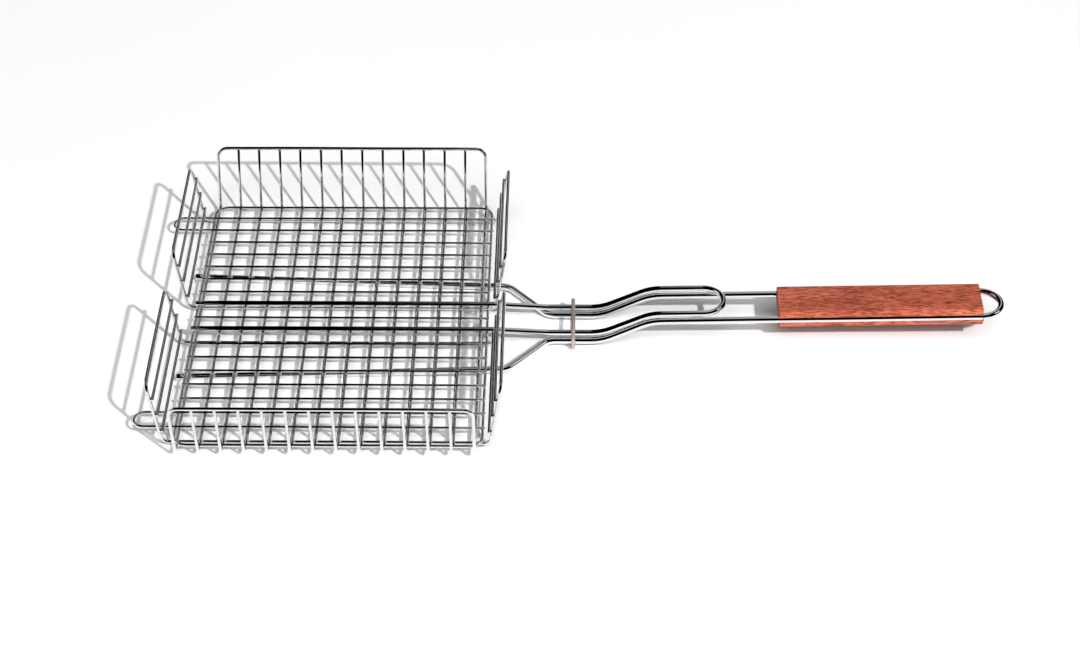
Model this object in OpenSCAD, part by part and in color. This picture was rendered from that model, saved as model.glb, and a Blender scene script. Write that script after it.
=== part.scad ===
// Adjustable wire grill basket: a tray with leaning walls, a hinged lid grid, two cranked handles,
// a wood grip with a hanging loop and a sliding lock ring.
// +Z up, +X towards the handle, millimetres. The origin is on the plane under the tray's heavy rod,
// at the centre of the tray.

/* [Grid] */

// Distance between neighbouring wires of both grids, mm
pitch = 19; // [12:0.5:30]

// Wires in the tray between its two outermost ones, count
tray_wires = 12; // [12:1:12]

// Depth of the tray floor between the feet of the far and near walls, mm
tray_depth = 356; // [250:1:450]

/* [Walls] */

// Length of a far or near wall along its lean, mm
wall_length = 58; // [30:1:90]

// Outward lean of the far and near walls, degrees
wall_lean = 14; // [0:0.5:25]

// Height of the end flaps above their floor wires, mm
flap_height = 59; // [30:1:90]

// Outward lean of the end flaps, degrees
flap_lean = 9; // [0:0.5:20]

// Distance from the tray centre to the foot of an end flap, mm
flap_foot = 136; // [130:0.5:160]

/* [Wires] */

// Diameter of the tray's heavy handle rod, mm
rod_d = 6.0; // [4:0.1:8]

// Diameter of the lid's heavy handle rod, mm
lid_rod_d = 5.2; // [4:0.1:8]

// Diameter of the wall frame wires, mm
frame_d = 3.0; // [2:0.1:5]

// Diameter of the tray's cross wires and flap bars, mm
wire_d = 2.6; // [1.5:0.1:4]

// Diameter of the lid's wires, mm
lid_wire_d = 2.4; // [1.5:0.1:4]

// Diameter of the lock ring's wire, mm
ring_wire_d = 3.4; // [2:0.1:6]

/* [Handle] */

// Distance between the two rods of each handle, mm
handle_spacing = 37; // [30:0.5:60]

// Height gained by the handles at the crank, mm
crank_rise = 21; // [0:0.5:60]

// Distance from the tray centre to the start of the crank, mm
crank_start = 229.5; // [200:0.5:300]

// Length of the crank along X, mm
crank_run = 42.5; // [20:0.5:80]

// Rise of the handles after the crank, degrees
grip_slope = 1.3; // [0:0.1:10]

// Distance from the tray centre to the tip of the hanging loop, mm
loop_tip = 576; // [400:1:700]

// Distance from the tray centre to the tip of the lid's handle, mm
lid_handle_tip = 335; // [290:1:360]

/* [Grip] */

// Distance from the tray centre to the front end of the wood grip, mm
grip_start = 382.5; // [340:0.5:420]

// Length of the wood grip, mm
grip_length = 176; // [80:1:220]

// Width of the wood grip, mm
grip_width = 41; // [38:0.5:60]

// Thickness of the wood grip, mm
grip_thick = 16.5; // [12:0.5:30]

// Radius of the wood grip's long edges, mm
grip_edge = 3.5; // [1:0.5:6]

/* [Lock] */

// Distance from the tray centre to the lock ring, mm
ring_x = 204.5; // [194:0.5:222]

/* [Build] */

// Node to build, or all

/* [Hidden] */

$fn = 48;

chrome = [0.80, 0.81, 0.83];
rosewood = [0.50, 0.20, 0.13];

// How far one wire sinks into another at a weld.
weld = 0.15;
// Play between pieces that move apart.
play = 0.3;
// A bend is drawn out this much thinner than the straight wire, and each straight laps onto it.
draw_out = 0.04;
bend_lap = 0.2;
// Shortest straight between the two bends of a U.
u_straight = 1;

// Heights of the layers, from the ground up.
rod_z = rod_d / 2;
tray_z = rod_d - weld + wire_d / 2;
side_z = rod_d - weld + frame_d / 2;
end_z = rod_d - frame_d / 2;
lid_cross_z = side_z + frame_d / 2 + play + lid_wire_d / 2;
lid_long_z = lid_cross_z + lid_wire_d - weld;
lid_rod_z = lid_cross_z + lid_wire_d / 2 - weld + lid_rod_d / 2;

// Tray plan.
tray_half_x = (tray_wires + 1) * pitch / 2;
tray_half_y = tray_depth / 2;
end_outer_y = 8.5 * pitch;
end_inner_y = 1.35 * pitch;
frame_corner = 9;
foot_bend = 6;
wire_bend = 4;

// Heavy handle rod of the tray.
leg_tip = [-134.5, 73];
leg_end = [147.5, 60];
jog_end_x = 182.5;
leg_bend = 14;
crank_bend = 42;
squeeze_bend = 24;
handle_half = handle_spacing / 2;
u_bend = handle_half - u_straight / 2;
crank_end = crank_start + crank_run;

// Lid plan.
lid_left = -126;
lid_right = 129.5;
lid_half_y = 173;
lid_corner = 12;
lid_cross_step = pitch;
lid_cross_first = lid_left + 1.2 * pitch;
tongue_tip = -161.5;
tongue_bend = (pitch - u_straight) / 2;
lid_end_lap = 1.5;
// The lock pulls the two handles together by this much, and they lie closer still after the crank.
squeeze = 2.6;
loop_close = 0.9;
squeeze_start = lid_right + 6;
handle_rod_top_z = lid_rod_z - squeeze;

// End flap bars, as heights above the flap's floor wire.
bar_low = 12.2;
bar_mid = 29;
bar_high = 45;
bar_proud = 1.6;

// Lock ring, measured across its inner opening.
ring_inner_r = 8;
ring_straight = 35.6;
ring_drop = 0.4;

function unit(v) = v / norm(v);
function upward(v) = abs(v[2]) > 0.9 ? [1, 0, 0] : [0, 0, 1];
function turn(a, b) = acos(max(-1, min(1, a * b)));
function ahead(p, i) = p[(i + 1) % len(p)];
function behind(p, i) = p[(i + len(p) - 1) % len(p)];
function heading_in(p, i) = unit(p[i] - behind(p, i));
function heading_out(p, i) = unit(ahead(p, i) - p[i]);
function setback(p, r, i) = r[i] == 0 ? 0 : r[i] * tan(turn(heading_in(p, i), heading_out(p, i)) / 2);
function inset(p, r, i) = r[i] == 0 ? 0 : setback(p, r, i) - bend_lap;

// Matrix that puts the axes x, y and z at a place.
function place(x, y, z, at) = [
    [x[0], y[0], z[0], at[0]],
    [x[1], y[1], z[1], at[1]],
    [x[2], y[2], z[2], at[2]],
    [0, 0, 0, 1]];

// Round bar from a to b.
module bar(a, b, d) {
    z = unit(b - a);
    x = unit(cross(upward(z), z));
    multmatrix(place(x, cross(z, x), z, a))
        cylinder(h = norm(b - a), d = d);
}

// Worn tip on the end of a bar that runs from a to b.
module tip(a, b, d) {
    z = unit(b - a);
    x = unit(cross(upward(z), z));
    multmatrix(place(x, cross(z, x), z, b))
        cylinder(h = d * 0.22, d1 = d, d2 = d * 0.62);
}

// Bend of radius r at corner i of the path p.
module bend(p, r, i, d) {
    a = heading_in(p, i);
    b = heading_out(p, i);
    n = unit(b - (a * b) * a);
    start = p[i] - a * setback(p, r, i);
    multmatrix(place(-n, a, cross(-n, a), start + n * r[i]))
        rotate_extrude(angle = turn(a, b))
            translate([r[i], 0])
                circle(d = d - draw_out);
}

// Wire along the path p, with bend radius r[i] at corner i; radius 0 marks a loose end.
module wire(p, r, d) {
    for (i = [0 : len(p) - 1]) {
        a = p[i] + heading_out(p, i) * inset(p, r, i);
        b = ahead(p, i) - heading_out(p, i) * inset(p, r, (i + 1) % len(p));
        if (r[i] > 0 || r[(i + 1) % len(p)] > 0)
            bar(a, b, d);
        if (r[i] > 0)
            bend(p, r, i, d);
    }
}

// Height of the tray's handle rod at x, after the crank.
function grip_z(x) = rod_z + crank_rise + (x - crank_end) * tan(grip_slope);
// Height of the lid's handle rod at x, after the crank.
function lid_grip_z(x) = grip_z(x) + handle_rod_top_z - rod_z - loop_close;

handle_points = [
    [leg_tip[0], leg_tip[1], rod_z],
    [leg_end[0], leg_end[1], rod_z],
    [jog_end_x, handle_half, rod_z],
    [crank_start, handle_half, rod_z],
    [crank_end, handle_half, grip_z(crank_end)],
    [loop_tip, handle_half, grip_z(loop_tip)],
    [loop_tip, -handle_half, grip_z(loop_tip)],
    [crank_end, -handle_half, grip_z(crank_end)],
    [crank_start, -handle_half, rod_z],
    [jog_end_x, -handle_half, rod_z],
    [leg_end[0], -leg_end[1], rod_z],
    [leg_tip[0], -leg_tip[1], rod_z]];
handle_bends = [0, leg_bend, leg_bend, crank_bend, crank_bend, u_bend, u_bend,
    crank_bend, crank_bend, leg_bend, leg_bend, 0];

module handle_rod() {
    color(chrome) {
        wire(handle_points, handle_bends, rod_d);
        tip(handle_points[1], handle_points[0], rod_d);
        tip(handle_points[10], handle_points[11], rod_d);
    }
}

// Section of the wood grip across its length: a rounded bar, grooved for the rod on both sides.
module grip_section() {
    half_w = grip_width / 2 - grip_edge;
    half_t = grip_thick / 2 - grip_edge;
    difference() {
        union() {
            square([grip_width, 2 * half_t], center = true);
            square([2 * half_w, grip_thick], center = true);
            for (s = [-1, 1], t = [-1, 1])
                translate([s * half_w, t * half_t])
                    circle(r = grip_edge);
        }
        for (s = [-1, 1])
            translate([s * handle_half, 0])
                circle(d = rod_d + 2 * weld);
        for (s = [-1, 1])
            translate([s * grip_width / 2, 0])
                square([grip_width - handle_spacing, rod_d * 0.78], center = true);
    }
}

module wood_grip() {
    color(rosewood)
        translate([crank_end, 0, grip_z(crank_end)])
            rotate([0, -grip_slope, 0])
                translate([grip_start - crank_end, 0, 0])
                    rotate([90, 0, 90])
                        linear_extrude(height = grip_length)
                            grip_section();
}

// U of one cross wire of the tray at x, from the top of one wall to the top of the other.
module tray_wire(i) {
    x = -tray_half_x + i * pitch;
    reach = wall_length - frame_d / 2 + weld;
    p = [
        [x, tray_half_y + reach * sin(wall_lean), tray_z + reach * cos(wall_lean)],
        [x, tray_half_y, tray_z],
        [x, -tray_half_y, tray_z],
        [x, -tray_half_y - reach * sin(wall_lean), tray_z + reach * cos(wall_lean)]];
    color(chrome)
        wire(p, [0, wire_bend, wire_bend, 0], wire_d);
}

module tray_wire_01() { tray_wire(1); }
module tray_wire_02() { tray_wire(2); }
module tray_wire_03() { tray_wire(3); }
module tray_wire_04() { tray_wire(4); }
module tray_wire_05() { tray_wire(5); }
module tray_wire_06() { tray_wire(6); }
module tray_wire_07() { tray_wire(7); }
module tray_wire_08() { tray_wire(8); }
module tray_wire_09() { tray_wire(9); }
module tray_wire_10() { tray_wire(10); }
module tray_wire_11() { tray_wire(11); }
module tray_wire_12() { tray_wire(12); }

// Closed wire with the two outermost cross wires and the top bars of the far and near walls.
module side_wall_frame() {
    top_y = tray_half_y + wall_length * sin(wall_lean);
    top_z = side_z + wall_length * cos(wall_lean);
    p = [
        [-tray_half_x, tray_half_y, side_z],
        [-tray_half_x, top_y, top_z],
        [tray_half_x, top_y, top_z],
        [tray_half_x, tray_half_y, side_z],
        [tray_half_x, -tray_half_y, side_z],
        [tray_half_x, -top_y, top_z],
        [-tray_half_x, -top_y, top_z],
        [-tray_half_x, -tray_half_y, side_z]];
    r = [wire_bend, frame_corner, frame_corner, wire_bend, wire_bend, frame_corner, frame_corner, wire_bend];
    color(chrome)
        wire(p, r, frame_d);
}

// Closed wire with the left and right flap of one side and their two floor wires.
module end_wall_frame(side) {
    top_x = flap_foot + flap_height * tan(flap_lean);
    top_z = end_z + flap_height;
    p = [
        [-flap_foot, side * end_inner_y, end_z],
        [-top_x, side * end_inner_y, top_z],
        [-top_x, side * end_outer_y, top_z],
        [-flap_foot, side * end_outer_y, end_z],
        [flap_foot, side * end_outer_y, end_z],
        [top_x, side * end_outer_y, top_z],
        [top_x, side * end_inner_y, top_z],
        [flap_foot, side * end_inner_y, end_z]];
    r = [foot_bend, frame_corner, frame_corner, foot_bend, foot_bend, frame_corner, frame_corner, foot_bend];
    color(chrome)
        wire(p, r, frame_d);
}

module end_wall_frame_far() { end_wall_frame(1); }
module end_wall_frame_near() { end_wall_frame(-1); }

// Distance from the tray centre to the axis of a flap bar at a height above the floor wire.
function bar_x(h) = flap_foot + h * tan(flap_lean) - ((frame_d + wire_d) / 2 - weld) / cos(flap_lean);

// Bar on the inside of a flap's two legs.
module flap_bar(end, side, h) {
    a = [end * bar_x(h), side * (end_inner_y - bar_proud), end_z + h];
    b = [end * bar_x(h), side * (end_outer_y + bar_proud), end_z + h];
    color(chrome) {
        bar(a, b, wire_d);
        tip(a, b, wire_d);
        tip(b, a, wire_d);
    }
}

module flap_bar_left_far_low() { flap_bar(-1, 1, bar_low); }
module flap_bar_left_far_mid() { flap_bar(-1, 1, bar_mid); }
module flap_bar_left_far_high() { flap_bar(-1, 1, bar_high); }
module flap_bar_left_near_low() { flap_bar(-1, -1, bar_low); }
module flap_bar_left_near_mid() { flap_bar(-1, -1, bar_mid); }
module flap_bar_left_near_high() { flap_bar(-1, -1, bar_high); }
module flap_bar_right_far_low() { flap_bar(1, 1, bar_low); }
module flap_bar_right_far_mid() { flap_bar(1, 1, bar_mid); }
module flap_bar_right_far_high() { flap_bar(1, 1, bar_high); }
module flap_bar_right_near_low() { flap_bar(1, -1, bar_low); }
module flap_bar_right_near_mid() { flap_bar(1, -1, bar_mid); }
module flap_bar_right_near_high() { flap_bar(1, -1, bar_high); }

// Rim of the lid.
module lid_rim() {
    p = [
        [lid_left, lid_half_y, lid_cross_z],
        [lid_right, lid_half_y, lid_cross_z],
        [lid_right, -lid_half_y, lid_cross_z],
        [lid_left, -lid_half_y, lid_cross_z]];
    color(chrome)
        wire(p, [lid_corner, lid_corner, lid_corner, lid_corner], lid_wire_d);
}

lid_rod_points = [
    [lid_left - lid_end_lap, handle_half, lid_rod_z],
    [squeeze_start, handle_half, lid_rod_z],
    [jog_end_x, handle_half, handle_rod_top_z],
    [crank_start, handle_half, handle_rod_top_z],
    [crank_end, handle_half, lid_grip_z(crank_end)],
    [lid_handle_tip, handle_half, lid_grip_z(lid_handle_tip)],
    [lid_handle_tip, -handle_half, lid_grip_z(lid_handle_tip)],
    [crank_end, -handle_half, lid_grip_z(crank_end)],
    [crank_start, -handle_half, handle_rod_top_z],
    [jog_end_x, -handle_half, handle_rod_top_z],
    [squeeze_start, -handle_half, lid_rod_z],
    [lid_left - lid_end_lap, -handle_half, lid_rod_z]];
lid_rod_bends = [0, squeeze_bend, squeeze_bend, crank_bend, crank_bend, u_bend, u_bend,
    crank_bend, crank_bend, squeeze_bend, squeeze_bend, 0];

module lid_handle_rod() {
    color(chrome)
        wire(lid_rod_points, lid_rod_bends, lid_rod_d);
}

// Outer pair of long wires, joined by the tip that hooks under the low flap bar.
module lid_tongue(side) {
    p = [
        [lid_right + lid_end_lap, side * 7 * pitch, lid_long_z],
        [tongue_tip, side * 7 * pitch, lid_long_z],
        [tongue_tip, side * 8 * pitch, lid_long_z],
        [lid_right + lid_end_lap, side * 8 * pitch, lid_long_z]];
    color(chrome)
        wire(p, [0, tongue_bend, tongue_bend, 0], lid_wire_d);
}

module lid_tongue_far() { lid_tongue(1); }
module lid_tongue_near() { lid_tongue(-1); }

// Single long wire, k pitches from the middle of the lid.
module lid_long_wire(k) {
    color(chrome)
        bar([lid_left - lid_end_lap, k * pitch, lid_long_z], [lid_right + lid_end_lap, k * pitch, lid_long_z], lid_wire_d);
}

module lid_long_wire_01() { lid_long_wire(6); }
module lid_long_wire_02() { lid_long_wire(5); }
module lid_long_wire_03() { lid_long_wire(4); }
module lid_long_wire_04() { lid_long_wire(3); }
module lid_long_wire_05() { lid_long_wire(2); }
module lid_long_wire_06() { lid_long_wire(0); }
module lid_long_wire_07() { lid_long_wire(-2); }
module lid_long_wire_08() { lid_long_wire(-3); }
module lid_long_wire_09() { lid_long_wire(-4); }
module lid_long_wire_10() { lid_long_wire(-5); }
module lid_long_wire_11() { lid_long_wire(-6); }

// Cross wire i of the lid, counted from the left, butted against the rim.
module lid_cross_wire(i) {
    x = lid_cross_first + (i - 1) * lid_cross_step;
    reach = lid_half_y - lid_wire_d / 2 + weld;
    color(chrome)
        bar([x, -reach, lid_cross_z], [x, reach, lid_cross_z], lid_wire_d);
}

module lid_cross_wire_01() { lid_cross_wire(1); }
module lid_cross_wire_02() { lid_cross_wire(2); }
module lid_cross_wire_03() { lid_cross_wire(3); }
module lid_cross_wire_04() { lid_cross_wire(4); }
module lid_cross_wire_05() { lid_cross_wire(5); }
module lid_cross_wire_06() { lid_cross_wire(6); }
module lid_cross_wire_07() { lid_cross_wire(7); }
module lid_cross_wire_08() { lid_cross_wire(8); }
module lid_cross_wire_09() { lid_cross_wire(9); }
module lid_cross_wire_10() { lid_cross_wire(10); }
module lid_cross_wire_11() { lid_cross_wire(11); }
module lid_cross_wire_12() { lid_cross_wire(12); }

// Ring around both rods of both handles.
module lock_ring() {
    mid_r = ring_inner_r + ring_wire_d / 2;
    half_y = ring_straight / 2 + mid_r;
    mid_z = ring_inner_r - ring_drop;
    p = [
        [ring_x, half_y, mid_z + mid_r],
        [ring_x, half_y, mid_z - mid_r],
        [ring_x, -half_y, mid_z - mid_r],
        [ring_x, -half_y, mid_z + mid_r]];
    r = mid_r - u_straight / 2;
    color(chrome)
        wire(p, [r, r, r, r], ring_wire_d);
}

handle_rod();
wood_grip();
side_wall_frame();
end_wall_frame_far();
end_wall_frame_near();
tray_wire_01();
tray_wire_02();
tray_wire_03();
tray_wire_04();
tray_wire_05();
tray_wire_06();
tray_wire_07();
tray_wire_08();
tray_wire_09();
tray_wire_10();
tray_wire_11();
tray_wire_12();
flap_bar_left_far_low();
flap_bar_left_far_mid();
flap_bar_left_far_high();
flap_bar_left_near_low();
flap_bar_left_near_mid();
flap_bar_left_near_high();
flap_bar_right_far_low();
flap_bar_right_far_mid();
flap_bar_right_far_high();
flap_bar_right_near_low();
flap_bar_right_near_mid();
flap_bar_right_near_high();
lid_rim();
lid_handle_rod();
lid_tongue_far();
lid_tongue_near();
lid_long_wire_01();
lid_long_wire_02();
lid_long_wire_03();
lid_long_wire_04();
lid_long_wire_05();
lid_long_wire_06();
lid_long_wire_07();
lid_long_wire_08();
lid_long_wire_09();
lid_long_wire_10();
lid_long_wire_11();
lid_cross_wire_01();
lid_cross_wire_02();
lid_cross_wire_03();
lid_cross_wire_04();
lid_cross_wire_05();
lid_cross_wire_06();
lid_cross_wire_07();
lid_cross_wire_08();
lid_cross_wire_09();
lid_cross_wire_10();
lid_cross_wire_11();
lid_cross_wire_12();
lock_ring();
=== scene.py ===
import math

import bmesh
import bpy
from mathutils import Matrix, Vector, noise


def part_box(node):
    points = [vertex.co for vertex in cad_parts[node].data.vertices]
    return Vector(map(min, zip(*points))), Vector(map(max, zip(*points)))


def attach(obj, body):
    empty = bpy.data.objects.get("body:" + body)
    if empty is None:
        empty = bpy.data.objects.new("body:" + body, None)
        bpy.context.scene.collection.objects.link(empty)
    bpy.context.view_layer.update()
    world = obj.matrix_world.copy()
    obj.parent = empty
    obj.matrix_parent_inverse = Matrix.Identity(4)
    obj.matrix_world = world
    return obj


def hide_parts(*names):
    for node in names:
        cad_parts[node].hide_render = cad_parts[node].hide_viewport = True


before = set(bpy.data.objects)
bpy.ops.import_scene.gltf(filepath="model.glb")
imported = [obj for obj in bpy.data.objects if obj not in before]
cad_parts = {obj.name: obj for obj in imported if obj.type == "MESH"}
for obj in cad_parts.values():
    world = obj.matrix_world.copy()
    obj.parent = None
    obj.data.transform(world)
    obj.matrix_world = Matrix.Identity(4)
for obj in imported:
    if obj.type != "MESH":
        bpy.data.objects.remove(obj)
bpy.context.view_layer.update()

MM = 0.001

# ---------------------------------------------------------------- driving sizes, mm, as in the CAD
# mesh and wires
PITCH, TRAY_CELLS = 19, 13
ROD_D, LID_ROD_D, FRAME_D, WIRE_D, LID_WIRE_D, RING_D = 6.0, 5.2, 3.0, 2.6, 2.4, 3.4

# tray: long side walls, and end flaps that span these cells from the middle
TRAY_HALF_Y, WALL_LENGTH, WALL_LEAN = 178, 58, math.radians(14)
FLAP_FOOT, FLAP_HEIGHT, FLAP_LEAN = 136, 59, math.radians(9)
FLAP_CELLS = (1.35, 8.5)

# lid, and its two tongues, each between these two mesh lines
LID_LEFT, LID_RIGHT, LID_HALF_Y = -126, 129.5, 173
TONGUE_TIP, TONGUE_CELLS = -161.5, (7, 8)

# heavy rods, along X: legs under the tray, jog, crank, loop
LEG_TIP, LEG_END, JOG_END = (-134.5, 73), (147.5, 60), 182.5
HANDLE_HALF_Y = 37 / 2
CRANK_START, CRANK_RUN, CRANK_RISE, GRIP_SLOPE = 229.5, 42.5, 21, math.radians(1.3)
LOOP_TIP, LID_HANDLE_TIP = 576, 335

# wood grip and lock ring
GRIP_START, GRIP_LENGTH, GRIP_WIDTH, GRIP_THICK, GRIP_EDGE = 382.5, 176, 41, 16.5, 3.5
RING_X, RING_INNER_R, RING_STRAIGHT, RING_DROP = 204.5, 8, 35.6, 0.4

# how deep welds sink, how high the lid lies clear, how far the lock and the crank bring its rod closer
WELD, PLAY, SQUEEZE, LOOP_CLOSE = 0.15, 0.3, 2.6, 0.9

# bend radii
CRANK_BEND, SQUEEZE_BEND, LEG_BEND = 42, 24, 14
LOOP_BEND = HANDLE_HALF_Y - 0.5
TOP_BEND, WALL_BEND, FLAP_BEND, TONGUE_BEND, RIM_BEND = 9, 4, 6, 9, 12

# how far a wire wanders off its true line, and what its loose ends add to its length, in radii
ROD_WANDER, FRAME_WANDER, TRAY_WANDER, THIN_WANDER = 0.25, 0.3, 0.25, 0.2
SHEARED, TRIMMED, FLUSH = (0.42, 0.42), (0.2, 0.2), (0.05, 0.05)

# ---------------------------------------------------------------- levels and places that follow
rod_z = ROD_D / 2
tray_z = ROD_D - WELD + WIRE_D / 2
side_z = ROD_D - WELD + FRAME_D / 2
end_z = ROD_D - FRAME_D / 2
lid_cross_z = side_z + FRAME_D / 2 + PLAY + LID_WIRE_D / 2
lid_long_z = lid_cross_z + LID_WIRE_D - WELD
lid_rod_z = lid_cross_z + LID_WIRE_D / 2 - WELD + LID_ROD_D / 2
lid_grip_lift = lid_rod_z - SQUEEZE - rod_z
tray_half_x = TRAY_CELLS * PITCH / 2
end_inner_y, end_outer_y = FLAP_CELLS[0] * PITCH, FLAP_CELLS[1] * PITCH
crank_end = CRANK_START + CRANK_RUN
side_reach = WALL_LENGTH - FRAME_D / 2 + WELD


def grip_z(x):
    """Height of the tray's rod beyond the crank."""
    return rod_z + CRANK_RISE + (x - crank_end) * math.tan(GRIP_SLOPE)


# ---------------------------------------------------------------- materials
def material(name):
    """Empty material with one shader: itself, its tree, the shader."""
    m = bpy.data.materials.new(name)
    m.use_nodes = True
    t = m.node_tree
    t.nodes.clear()
    out = t.nodes.new("ShaderNodeOutputMaterial")
    shader = t.nodes.new("ShaderNodeBsdfPrincipled")
    t.links.new(shader.outputs[0], out.inputs[0])
    return m, t, shader


def node(t, kind, inputs=None, **props):
    """New node with its inputs set: a socket is linked, anything else is a value."""
    n = t.nodes.new(kind)
    for k, v in props.items():
        setattr(n, k, v)
    for k, v in (inputs or {}).items():
        if isinstance(v, bpy.types.NodeSocket):
            t.links.new(v, n.inputs[k])
        else:
            n.inputs[k].default_value = v
    return n


def ramp(t, fac, stops):
    """Colour from a factor, through stops of place and colour."""
    n = node(t, "ShaderNodeValToRGB", {0: fac})
    e = n.color_ramp.elements
    while len(e) < len(stops):
        e.new(0.5)
    for i, (at, col) in enumerate(stops):
        e[i].position = at
        e[i].color = (*col, 1)
    return n.outputs[0]


def bump(t, height, strength, distance, below=None):
    """Bump from a height, on top of the one below."""
    inputs = {"Height": height, "Strength": strength, "Distance": distance}
    if below is not None:
        inputs["Normal"] = below
    return node(t, "ShaderNodeBump", inputs).outputs[0]


def chrome(name, dark, light, rough, wave, wave_scale, haze=0.0, metallic=1.0):
    """Bright plating: soft swells from drawing and bending, faint haze and a few dull specks."""
    m, t, s = material(name)
    co = node(t, "ShaderNodeTexCoord").outputs["Object"]

    def texture(scale, detail, roughness):
        inputs = {"Vector": co, "Scale": scale, "Detail": detail, "Roughness": roughness}
        return node(t, "ShaderNodeTexNoise", inputs).outputs[0]

    swell = texture(wave_scale, 2.0, 0.45)
    fine = texture(900.0, 3.0, 0.6)
    t.links.new(ramp(t, fine, [(0.3, dark), (0.62, light)]), s.inputs["Base Color"])
    r = node(t, "ShaderNodeMapRange", {0: swell, 1: 0.25, 2: 0.75, 3: rough[0], 4: rough[1]})
    t.links.new(r.outputs[0], s.inputs["Roughness"])
    swells = bump(t, swell, wave, 0.0006)
    t.links.new(bump(t, fine, 0.12 + haze, 0.00004, swells), s.inputs["Normal"])
    s.inputs["Metallic"].default_value = metallic
    return m


def rosewood(name):
    """Oiled red hardwood, its grain along X: broad bands, fine streaks, dark pores."""
    m, t, s = material(name)
    co = node(t, "ShaderNodeTexCoord").outputs["Object"]

    def grain(stretch, scale, detail, distort, shift=0.0):
        place = {"Vector": co, "Scale": (stretch, 1, 1), "Location": (shift, shift, 0)}
        v = node(t, "ShaderNodeMapping", place).outputs[0]
        inputs = {"Vector": v, "Scale": scale, "Detail": detail, "Roughness": 0.6, "Distortion": distort}
        return node(t, "ShaderNodeTexNoise", inputs).outputs[0]

    band = grain(0.20, 60, 3, 0.6)
    streak = grain(0.16, 760, 3, 0.4, 0.3)
    fibre = grain(0.05, 2200, 2, 0.0, 0.5)
    pore = grain(0.16, 900, 2, 0.2, 0.7)
    colour = ramp(t, band, [
        (0.32, (0.41, 0.118, 0.071)),
        (0.50, (0.51, 0.155, 0.094)),
        (0.66, (0.61, 0.196, 0.125)),
    ])
    lines = ramp(t, streak, [
        (0.38, (0.58, 0.52, 0.50)),
        (0.48, (0.93, 0.92, 0.92)),
        (0.60, (1.15, 1.20, 1.24)),
    ])
    dots = ramp(t, pore, [(0.36, (0.36, 0.30, 0.30)), (0.43, (1, 1, 1))])
    hair = ramp(t, fibre, [(0.35, (0.82, 0.80, 0.80)), (0.65, (1.08, 1.08, 1.08))])
    for share, layer in ((1.0, lines), (1.0, hair), (0.8, dots)):
        mix = node(t, "ShaderNodeMix", {0: share, 6: colour, 7: layer},
                   data_type="RGBA", blend_type="MULTIPLY")
        colour = mix.outputs[2]
    t.links.new(colour, s.inputs["Base Color"])
    r = node(t, "ShaderNodeMapRange", {0: streak, 1: 0.3, 2: 0.7, 3: 0.62, 4: 0.44})
    t.links.new(r.outputs[0], s.inputs["Roughness"])
    streaks = bump(t, streak, 0.25, 0.0002)
    t.links.new(bump(t, pore, 0.35, 0.0001, streaks), s.inputs["Normal"])
    s.inputs["Specular IOR Level"].default_value = 0.3
    return m


rod_chrome = chrome("chrome_rod", (0.80, 0.81, 0.83), (0.88, 0.89, 0.90), (0.03, 0.07), 0.08, 55)
wire_chrome = chrome("chrome_wire", (0.76, 0.77, 0.79), (0.86, 0.87, 0.88), (0.04, 0.09), 0.08, 90)
weld_chrome = chrome("chrome_weld", (0.70, 0.70, 0.71), (0.84, 0.84, 0.85), (0.10, 0.20), 0.25, 500, 0.2)
ring_plate = chrome("plated_ring", (0.40, 0.34, 0.31), (0.66, 0.60, 0.55), (0.30, 0.50), 0.40, 260, 0.4, 0.55)
wood = rosewood("rosewood")


# ---------------------------------------------------------------- wires
def path(points, radii, closed=False, run=24.0):
    """Centreline in mm through points, its corners rounded and its long runs cut into short ones."""
    n = len(points)
    pts = [Vector(p) for p in points]
    out = []

    def corner(i):
        if radii[i] == 0:
            return pts[i], pts[i], []
        a = (pts[i] - pts[i - 1]).normalized()
        b = (pts[(i + 1) % n] - pts[i]).normalized()
        phi = a.angle(b)
        back = radii[i] * math.tan(phi / 2)
        side = (b - a * a.dot(b)).normalized()
        centre = pts[i] - a * back + side * radii[i]
        steps = max(4, int(math.degrees(phi) / 7.5))
        turns = [phi * k / steps for k in range(steps + 1)]
        arc = [centre + radii[i] * (a * math.sin(turn) - side * math.cos(turn)) for turn in turns]
        return arc[0], arc[-1], arc

    corners = [corner(i) for i in range(n)]
    for i in range(n):
        start, end, arc = corners[i]
        out.extend(arc[:-1])
        if i < n - 1 or closed:
            goal = corners[(i + 1) % n][0]
            steps = max(1, int((goal - end).length / run))
            out.extend(end.lerp(goal, k / steps) for k in range(steps))
    if not closed:
        out.append(pts[-1])
    return out


def mirrored(half, bends, flip=(1, -1, 1), **how):
    """Path through half of its corners and back through their mirror images."""
    back = [tuple(a * b for a, b in zip(p, flip)) for p in reversed(half)]
    return path(half + back, bends + bends[::-1], **how)


def sway(p, seed, amount):
    """Small wander of a wire off its true line, mm."""
    q = Vector((p.x * 0.011, p.y * 0.011, seed * 7.3))
    off_x = noise.noise(q)
    off_y = noise.noise(q + Vector((31, 0, 0)))
    off_z = 0.6 * noise.noise(q + Vector((0, 47, 0)))
    return p + amount * Vector((off_x, off_y, off_z))


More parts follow.
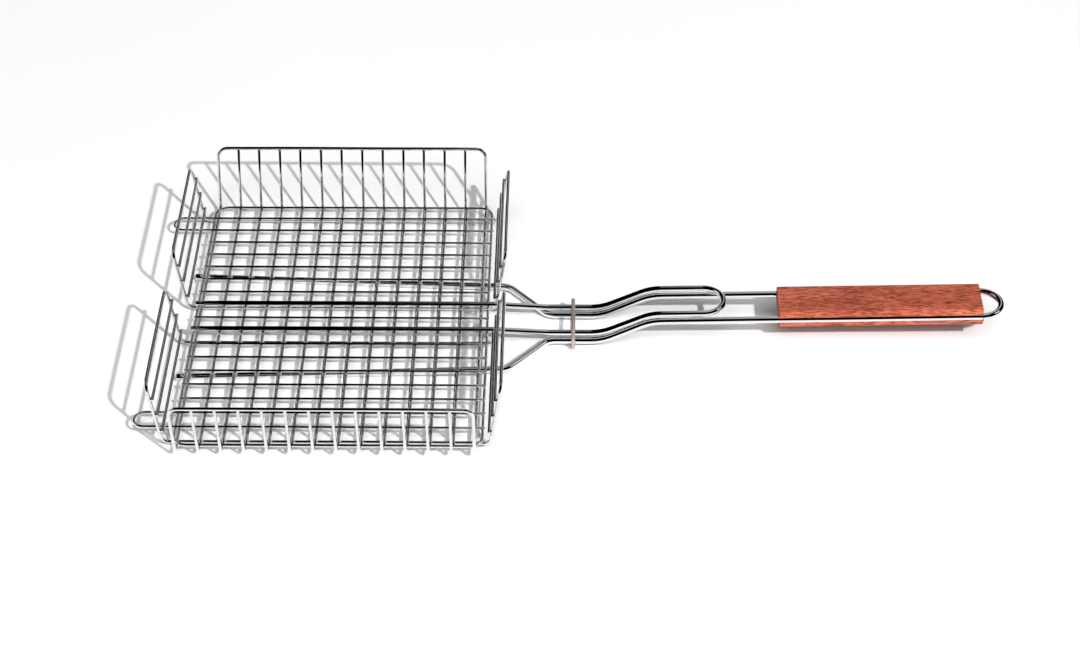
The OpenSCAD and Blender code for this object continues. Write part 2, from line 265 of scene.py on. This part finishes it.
def tube(name, points, d, mat, body, closed=False, sides=14, ends=SHEARED, wander=0.0, seed=0):
    """Round wire along a centreline in mm. A loose end is sheared and slightly rounded."""
    pts = [sway(p, seed, wander) for p in points] if wander else list(points)
    n = len(pts)
    r = d / 2
    tang = []
    for i in range(n):
        a = pts[i - 1] if (closed or i > 0) else pts[i]
        b = pts[(i + 1) % n] if (closed or i < n - 1) else pts[i]
        tang.append((b - a).normalized())

    # a frame carried along the line without turning; round a closed wire the rest is shared out
    up = Vector((0, 0, 1)) if abs(tang[0].z) < 0.9 else Vector((1, 0, 0))
    u = (up - tang[0] * up.dot(tang[0])).normalized()
    frames = []
    for i in range(n):
        u = (u - tang[i] * u.dot(tang[i])).normalized()
        frames.append(u)
    twist = 0.0
    if closed:
        last = (u - tang[0] * u.dot(tang[0])).normalized()
        twist = math.atan2(last.cross(frames[0]).dot(tang[0]), last.dot(frames[0]))
    verts, faces = [], []

    def ring(centre, t, u, radius, extra=0.0):
        v = t.cross(u)
        for k in range(sides):
            a = 2 * math.pi * k / sides + extra
            verts.append((centre + radius * (u * math.cos(a) + v * math.sin(a))) * MM)

    tip, shoulder = (0.95, 0.55), (0.7, 0.86)  # how far out, and how wide
    if not closed:
        for far, wide in (tip, shoulder):
            ring(pts[0] - tang[0] * r * ends[0] * far, tang[0], frames[0], r * wide)
    for i in range(n):
        ring(pts[i], tang[i], frames[i], r, twist * i / n)
    if not closed:
        for far, wide in (shoulder, tip):
            ring(pts[-1] + tang[-1] * r * ends[1] * far, tang[-1], frames[-1], r * wide)
    rings = len(verts) // sides
    for i in range(rings if closed else rings - 1):
        here, there = i * sides, ((i + 1) % rings) * sides
        for k in range(sides):
            k2 = (k + 1) % sides
            faces.append((here + k, here + k2, there + k2, there + k))
    if not closed:
        faces.append(tuple(range(sides - 1, -1, -1)))
        faces.append(tuple((rings - 1) * sides + k for k in range(sides)))
    return mesh_piece(name, verts, faces, mat, body)


def mesh_piece(name, verts, faces, mat, body, smooth=True):
    me = bpy.data.meshes.new(name)
    me.from_pydata([tuple(v) for v in verts], [], faces)
    me.validate()
    if smooth:
        me.polygons.foreach_set("use_smooth", [True] * len(me.polygons))
    me.update()
    o = bpy.data.objects.new(name, me)
    bpy.context.scene.collection.objects.link(o)
    o.data.materials.append(mat)
    if body:
        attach(o, body)
    return o


def wire(cad_node, points, d, mat, body, **shape):
    """The tube that is seen in place of one CAD node."""
    o = tube(cad_node + "_wire", points, d, mat, body, **shape)
    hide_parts(cad_node)


# ---------------------------------------------------------------- the two heavy rods
def handle_line():
    return mirrored([
        (*LEG_TIP, rod_z),
        (*LEG_END, rod_z),
        (JOG_END, HANDLE_HALF_Y, rod_z),
        (CRANK_START, HANDLE_HALF_Y, rod_z),
        (crank_end, HANDLE_HALF_Y, grip_z(crank_end)),
        (LOOP_TIP, HANDLE_HALF_Y, grip_z(LOOP_TIP)),
    ], [0, LEG_BEND, LEG_BEND, CRANK_BEND, CRANK_BEND, LOOP_BEND])


def lid_handle_line():
    dip_z = rod_z + lid_grip_lift
    start_x, past_rim_x = LID_LEFT - 1.5, LID_RIGHT + 6
    return mirrored([
        (start_x, HANDLE_HALF_Y, lid_rod_z),
        (past_rim_x, HANDLE_HALF_Y, lid_rod_z),
        (JOG_END, HANDLE_HALF_Y, dip_z),
        (CRANK_START, HANDLE_HALF_Y, dip_z),
        (crank_end, HANDLE_HALF_Y, grip_z(crank_end) + lid_grip_lift - LOOP_CLOSE),
        (LID_HANDLE_TIP, HANDLE_HALF_Y, grip_z(LID_HANDLE_TIP) + lid_grip_lift - LOOP_CLOSE),
    ], [0, SQUEEZE_BEND, SQUEEZE_BEND, CRANK_BEND, CRANK_BEND, LOOP_BEND])


rod_look = {"sides": 24, "wander": ROD_WANDER}
wire("handle_rod", handle_line(), ROD_D, rod_chrome, "basket", seed=1, **rod_look)
wire("lid_handle_rod", lid_handle_line(), LID_ROD_D, rod_chrome, "lid", seed=2, **rod_look)

# ---------------------------------------------------------------- walls
frame_look = {"closed": True, "sides": 16, "wander": FRAME_WANDER}
top_y = TRAY_HALF_Y + WALL_LENGTH * math.sin(WALL_LEAN)
top_z = side_z + WALL_LENGTH * math.cos(WALL_LEAN)
line = mirrored([
    (-tray_half_x, TRAY_HALF_Y, side_z),
    (-tray_half_x, top_y, top_z),
    (tray_half_x, top_y, top_z),
    (tray_half_x, TRAY_HALF_Y, side_z),
], [WALL_BEND, TOP_BEND, TOP_BEND, WALL_BEND], closed=True)
wire("side_wall_frame", line, FRAME_D, wire_chrome, "basket", seed=3, **frame_look)

flap_top_x = FLAP_FOOT + FLAP_HEIGHT * math.tan(FLAP_LEAN)
flap_top_z = end_z + FLAP_HEIGHT
for side, label in ((1, "far"), (-1, "near")):
    inner, outer = side * end_inner_y, side * end_outer_y
    line = mirrored([
        (-FLAP_FOOT, inner, end_z),
        (-flap_top_x, inner, flap_top_z),
        (-flap_top_x, outer, flap_top_z),
        (-FLAP_FOOT, outer, end_z),
    ], [FLAP_BEND, TOP_BEND, TOP_BEND, FLAP_BEND], flip=(-1, 1, 1), closed=True)
    wire(f"end_wall_frame_{label}", line, FRAME_D, wire_chrome, "basket", seed=4 + side, **frame_look)

# ---------------------------------------------------------------- cross wires of the tray
tray_xs = [-tray_half_x + i * PITCH for i in range(1, TRAY_CELLS)]
tip_y = TRAY_HALF_Y + side_reach * math.sin(WALL_LEAN)
tip_z = tray_z + side_reach * math.cos(WALL_LEAN)
for i, x in enumerate(tray_xs):
    line = mirrored([(x, tip_y, tip_z), (x, TRAY_HALF_Y, tray_z)], [0, WALL_BEND])
    wire(f"tray_wire_{i + 1:02d}", line, WIRE_D, wire_chrome, "basket", seed=10 + i,
         ends=TRIMMED, wander=TRAY_WANDER)


# ---------------------------------------------------------------- straight wires
def straight(name, body, seed, ends=SHEARED):
    """Round wire on the CAD node's own axis. Returns its middle, mm."""
    lo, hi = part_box(name)
    lo, hi = lo / MM, hi / MM
    size = hi - lo
    axis = max(range(3), key=lambda k: size[k])
    r = min(size) / 2
    mid = (lo + hi) / 2
    a, b = mid.copy(), mid.copy()
    a[axis] = lo[axis] + r * ends[0]
    b[axis] = hi[axis] - r * ends[1]
    steps = 12
    line = [a.lerp(b, k / steps) for k in range(steps + 1)]
    wire(name, line, 2 * r, wire_chrome, body, wander=THIN_WANDER, seed=seed, ends=ends)
    return mid


def straights(prefix, body, first_seed, **shape):
    """Every straight wire whose name starts so. Returns their middles by name."""
    names = [name for name in sorted(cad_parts) if name.startswith(prefix)]
    return {name: straight(name, body, first_seed + k, **shape) for k, name in enumerate(names)}


bars = straights("flap_bar", "basket", 40)
long_ys = [mid.y for mid in straights("lid_long_wire", "lid", 60).values()]
cross_xs = [mid.x for mid in straights("lid_cross_wire", "lid", 80, ends=FLUSH).values()]

# ---------------------------------------------------------------- rim and tongues of the lid
line = mirrored([(LID_LEFT, LID_HALF_Y, lid_cross_z), (LID_RIGHT, LID_HALF_Y, lid_cross_z)],
                [RIM_BEND, RIM_BEND], closed=True)
wire("lid_rim", line, LID_WIRE_D, wire_chrome, "lid", closed=True, wander=THIN_WANDER, seed=30)
tongue_root = LID_RIGHT + 1.5
for side, label in ((1, "far"), (-1, "near")):
    inner, outer = side * TONGUE_CELLS[0] * PITCH, side * TONGUE_CELLS[1] * PITCH
    line = path([
        (tongue_root, inner, lid_long_z),
        (TONGUE_TIP, inner, lid_long_z),
        (TONGUE_TIP, outer, lid_long_z),
        (tongue_root, outer, lid_long_z),
    ], [0, TONGUE_BEND, TONGUE_BEND, 0])
    wire(f"lid_tongue_{label}", line, LID_WIRE_D, wire_chrome, "lid", wander=THIN_WANDER, seed=31 + side)

# ---------------------------------------------------------------- lock ring
ring_r = RING_INNER_R + RING_D / 2
ring_half_y = RING_STRAIGHT / 2 + ring_r
ring_z = RING_INNER_R - RING_DROP
line = mirrored([(RING_X, ring_half_y, ring_z + ring_r), (RING_X, ring_half_y, ring_z - ring_r)],
                [ring_r - 0.5, ring_r - 0.5], closed=True, run=6)
wire("lock_ring", line, RING_D, ring_plate, "lock", closed=True, sides=20)


# ---------------------------------------------------------------- welds
def nuggets(name, spots, body):
    """Flattened beads of squeezed metal where two wires cross. Each spot: centre, half sizes."""
    verts, faces = [], []
    cols, rows = 10, 6
    for n, (c, s) in enumerate(spots):
        c, s = Vector(c), Vector(s)
        grow = 1 + 0.25 * noise.noise(Vector((n * 1.7, 3.1, 0.4)))
        base = len(verts)
        for j in range(1, rows):
            for k in range(cols):
                a, b = 2 * math.pi * k / cols, math.pi * j / rows
                x, y, z = math.sin(b) * math.cos(a), math.sin(b) * math.sin(a), math.cos(b)
                verts.append((c + grow * Vector((s.x * x, s.y * y, s.z * z))) * MM)
        pole = Vector((0, 0, s.z * grow))
        verts += [(c + pole) * MM, (c - pole) * MM]
        top, bottom = len(verts) - 2, len(verts) - 1
        for j in range(rows - 2):
            for k in range(cols):
                a, b = base + j * cols + k, base + j * cols + (k + 1) % cols
                faces.append((a, a + cols, b + cols, b))
        last = base + (rows - 2) * cols
        for k in range(cols):
            faces.append((top, base + k, base + (k + 1) % cols))
            faces.append((bottom, last + (k + 1) % cols, last + k))
    mesh_piece(name, verts, faces, weld_chrome, body)


def leg_y(x):
    """Where a leg of the heavy rod passes under the tray."""
    return LEG_TIP[1] + (LEG_END[1] - LEG_TIP[1]) * (x - LEG_TIP[0]) / (LEG_END[0] - LEG_TIP[0])


small_weld, rod_weld = (1.45, 1.45, 0.6), (1.9, 2.1, 0.8)
bar_weld, rim_weld = (0.7, 1.6, 1.5), (1.7, 1.4, 0.9)

spots = []
contact = lid_cross_z + LID_WIRE_D / 2 - WELD / 2
for x in cross_xs + [LID_LEFT, LID_RIGHT]:
    spots += [((x, y, contact), small_weld) for y in long_ys]
    spots += [((x, side * k * PITCH, contact), small_weld) for side in (1, -1) for k in TONGUE_CELLS]
    spots += [((x, side * HANDLE_HALF_Y, contact), rod_weld) for side in (1, -1)]
nuggets("lid_welds", spots, "lid")

spots = []
contact = ROD_D - WELD / 2
for x in tray_xs + [-tray_half_x, tray_half_x]:
    spots += [((x, y, contact), small_weld) for y in (end_outer_y, end_inner_y, -end_inner_y, -end_outer_y)]
    spots += [((x, side * leg_y(x), contact), rod_weld) for side in (1, -1)]
for mid in bars.values():
    outside = mid.x + math.copysign(1, mid.x) * (WIRE_D - WELD) / 2
    spots += [((outside, math.copysign(y, mid.y), mid.z), bar_weld) for y in (end_inner_y, end_outer_y)]
spots += [((x, side * tip_y, tip_z), rim_weld) for x in tray_xs for side in (1, -1)]
nuggets("tray_welds", spots, "basket")


# ---------------------------------------------------------------- wood grip
def rounding(centre, r, start, sweep, steps):
    """Points (y, z) on a round; the angle is measured from the horizontal."""
    angles = [start + sweep * k / steps for k in range(steps + 1)]
    return [(centre[0] + r * math.cos(a), centre[1] + r * math.sin(a)) for a in angles]


def grip_outline():
    """Half of the section, (y, z) in mm: from the top round one side, with its groove, to the bottom."""
    w, t, e = GRIP_WIDTH / 2, GRIP_THICK / 2, GRIP_EDGE
    mouth, eased, groove_r = ROD_D * 0.42, 0.45, ROD_D / 2 + 0.1
    quarter = math.pi / 2
    opening = math.atan2(mouth, math.sqrt(max(groove_r * groove_r - mouth * mouth, 0)))
    pts = rounding((w - e, t - e), e, quarter, -quarter, 8)
    pts += [(w, mouth + eased), (w - eased, mouth)]
    pts += rounding((HANDLE_HALF_Y, 0), groove_r, opening, 2 * math.pi - 2 * opening, 18)
    pts += [(w - eased, -mouth), (w, -mouth - eased)]
    pts += rounding((w - e, e - t), e, 0, -quarter, 8)
    return pts


def grip_block():
    right = grip_outline()
    outline = right + [(-y, z) for y, z in reversed(right)]
    start = GRIP_START - crank_end
    bm = bmesh.new()
    face = bm.faces.new([bm.verts.new((start, y, z)) for y, z in outline])
    made = bmesh.ops.extrude_face_region(bm, geom=[face])
    moved = [g for g in made["geom"] if isinstance(g, bmesh.types.BMVert)]
    bmesh.ops.translate(bm, verts=moved, vec=(GRIP_LENGTH, 0, 0))
    bmesh.ops.recalc_face_normals(bm, faces=bm.faces)
    rims = [e for e in bm.edges if abs(e.verts[0].co.x - e.verts[1].co.x) < 1e-6]
    bmesh.ops.bevel(bm, geom=rims, offset=0.5, segments=3, affect="EDGES", profile=0.5)
    place = Matrix.Translation((crank_end, 0, grip_z(crank_end))) @ Matrix.Rotation(-GRIP_SLOPE, 4, "Y")
    bm.transform(Matrix.Scale(MM, 4) @ place)
    me = bpy.data.meshes.new("wood_grip_block")
    bm.to_mesh(me)
    bm.free()
    me.polygons.foreach_set("use_smooth", [True] * len(me.polygons))
    me.set_sharp_from_angle(angle=math.radians(38))
    o = bpy.data.objects.new("wood_grip_block", me)
    bpy.context.scene.collection.objects.link(o)
    me.materials.append(wood)
    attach(o, "basket")
    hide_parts("wood_grip")


grip_block()

# the CAD nodes themselves carry the same finishes
special = {"wood_grip": wood, "lock_ring": ring_plate}
for name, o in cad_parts.items():
    o.data.materials.clear()
    o.data.materials.append(special.get(name, wire_chrome))


# ---------------------------------------------------------------- floor, light, camera
def floor():
    """Plain floor that the lock ring and the left rod tips stand on."""
    low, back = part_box("lock_ring")[0].z, LEG_TIP[0] * MM
    tilt = math.atan2(low, RING_X * MM - back)
    reach, gap = 30, 0.00002
    m, t, s = material("floor_white")
    co = node(t, "ShaderNodeTexCoord").outputs["Object"]
    grain = node(t, "ShaderNodeTexNoise", {"Vector": co, "Scale": 3.0, "Detail": 2.0}).outputs[0]
    shades = [(0.3, (0.90, 0.90, 0.90)), (0.7, (0.91, 0.91, 0.91))]
    t.links.new(ramp(t, grain, shades), s.inputs["Base Color"])
    s.inputs["Roughness"].default_value = 0.9
    s.inputs["Specular IOR Level"].default_value = 0.1
    v = [(-reach, -reach, 0), (reach, -reach, 0), (reach, reach, 0), (-reach, reach, 0)]
    o = mesh_piece("studio_floor", v, [(0, 1, 2, 3)], m, None, smooth=False)
    o.matrix_world = Matrix.Translation((back, 0, -gap)) @ Matrix.Rotation(-tilt, 4, "Y")


floor()


def light(name, kind):
    """The chrome mirrors the room, and not the lamps."""
    d = bpy.data.lights.new(name, kind)
    o = bpy.data.objects.new(name, d)
    o.visible_glossy = False
    bpy.context.scene.collection.objects.link(o)
    return d, o


def lamp(name, at, target, power, size):
    """Square area lamp, even over the whole floor."""
    d, o = light(name, "AREA")
    d.size, d.energy = size, power
    d.use_nodes = True
    t = d.node_tree
    even = node(t, "ShaderNodeLightFalloff", {0: 1.0}).outputs["Constant"]
    t.links.new(even, t.nodes["Emission"].inputs["Strength"])
    back = (Vector(at) - Vector(target)).to_track_quat("Z", "Y")
    o.matrix_world = Matrix.Translation(at) @ back.to_matrix().to_4x4()


def soft_light(name, direction, strength, angle):
    """Soft light from a wide patch of the room, the same all over."""
    d, o = light(name, "SUN")
    d.energy, d.angle = strength, math.radians(angle)
    o.matrix_world = Vector(direction).to_track_quat("Z", "Y").to_matrix().to_4x4()


# one small lamp at the near right, one broad light from high in front
lamp("key", (1.184, -1.930, 1.940), (0.15, 0, 0), 8.2, 0.08)
soft_light("front", (0, -0.68, 0.73), 2.65, 42)


def studio():
    """Black room: a grey screen behind and overhead, a pale wall on the left, a small panel on the right."""
    w = bpy.data.worlds.new("studio")
    bpy.context.scene.world = w
    w.use_nodes = True
    w.cycles_visibility.diffuse = False
    t = w.node_tree
    t.nodes.clear()
    out = t.nodes.new("ShaderNodeOutputWorld")
    co = node(t, "ShaderNodeTexCoord").outputs["Generated"]

    def towards(direction, start, end, level=1.0):
        """Fades from 0 to level as the view turns towards a direction; start and end are cosines."""
        dot = node(t, "ShaderNodeVectorMath", {0: co, 1: direction}, operation="DOT_PRODUCT").outputs["Value"]
        fade = {0: dot, 1: start, 2: end, 3: 0.0, 4: level}
        return node(t, "ShaderNodeMapRange", fade, interpolation_type="SMOOTHSTEP").outputs[0]

    def join(a, b, operation):
        return node(t, "ShaderNodeMath", {0: a, 1: b}, operation=operation).outputs[0]

    screen = towards((0, 0.8, 0.6), 0.28, 0.50, 0.50)
    right_edge = towards((1, 0, 0), -0.09, 0.05)
    screen = join(screen, right_edge, "MULTIPLY")
    left_edge = towards((-1, 0, 0), -0.44, -0.28)
    screen = join(screen, left_edge, "MULTIPLY")
    panel = towards((0.8, 0.02, 0.6), 0.965, 0.985, 1.1)
    level = join(screen, panel, "ADD")
    wall = towards((-0.93, 0.05, 0.36), 0.90, 0.95, 0.8)
    level = join(level, wall, "ADD")
    bg = node(t, "ShaderNodeBackground", {0: (1, 1, 1, 1), 1: level})
    t.links.new(bg.outputs[0], out.inputs[0])


studio()


def camera():
    """Place in metres, angles in radians, lens in mm."""
    d = bpy.data.cameras.new("camera")
    d.lens, d.sensor_width = 89.374, 36
    d.clip_start, d.clip_end = 0.05, 100
    o = bpy.data.objects.new("camera", d)
    place = (0.200591, -1.877725, 1.417185)
    down, yaw, roll = 0.644198, -0.0134112, -0.0041412
    look = Vector((math.sin(yaw) * math.cos(down), math.cos(yaw) * math.cos(down), -math.sin(down)))
    right = Vector((math.cos(yaw), -math.sin(yaw), 0))
    up = right.cross(look)
    rolled_right = right * math.cos(roll) + up * math.sin(roll)
    rolled_up = up * math.cos(roll) - right * math.sin(roll)
    turn = Matrix((rolled_right, rolled_up, -look)).transposed()
    o.matrix_world = Matrix.Translation(place) @ turn.to_4x4()
    bpy.context.scene.collection.objects.link(o)
    bpy.context.scene.camera = o


camera()
scene = bpy.context.scene
scene.view_settings.view_transform = "Standard"
scene.view_settings.gamma = 0.84
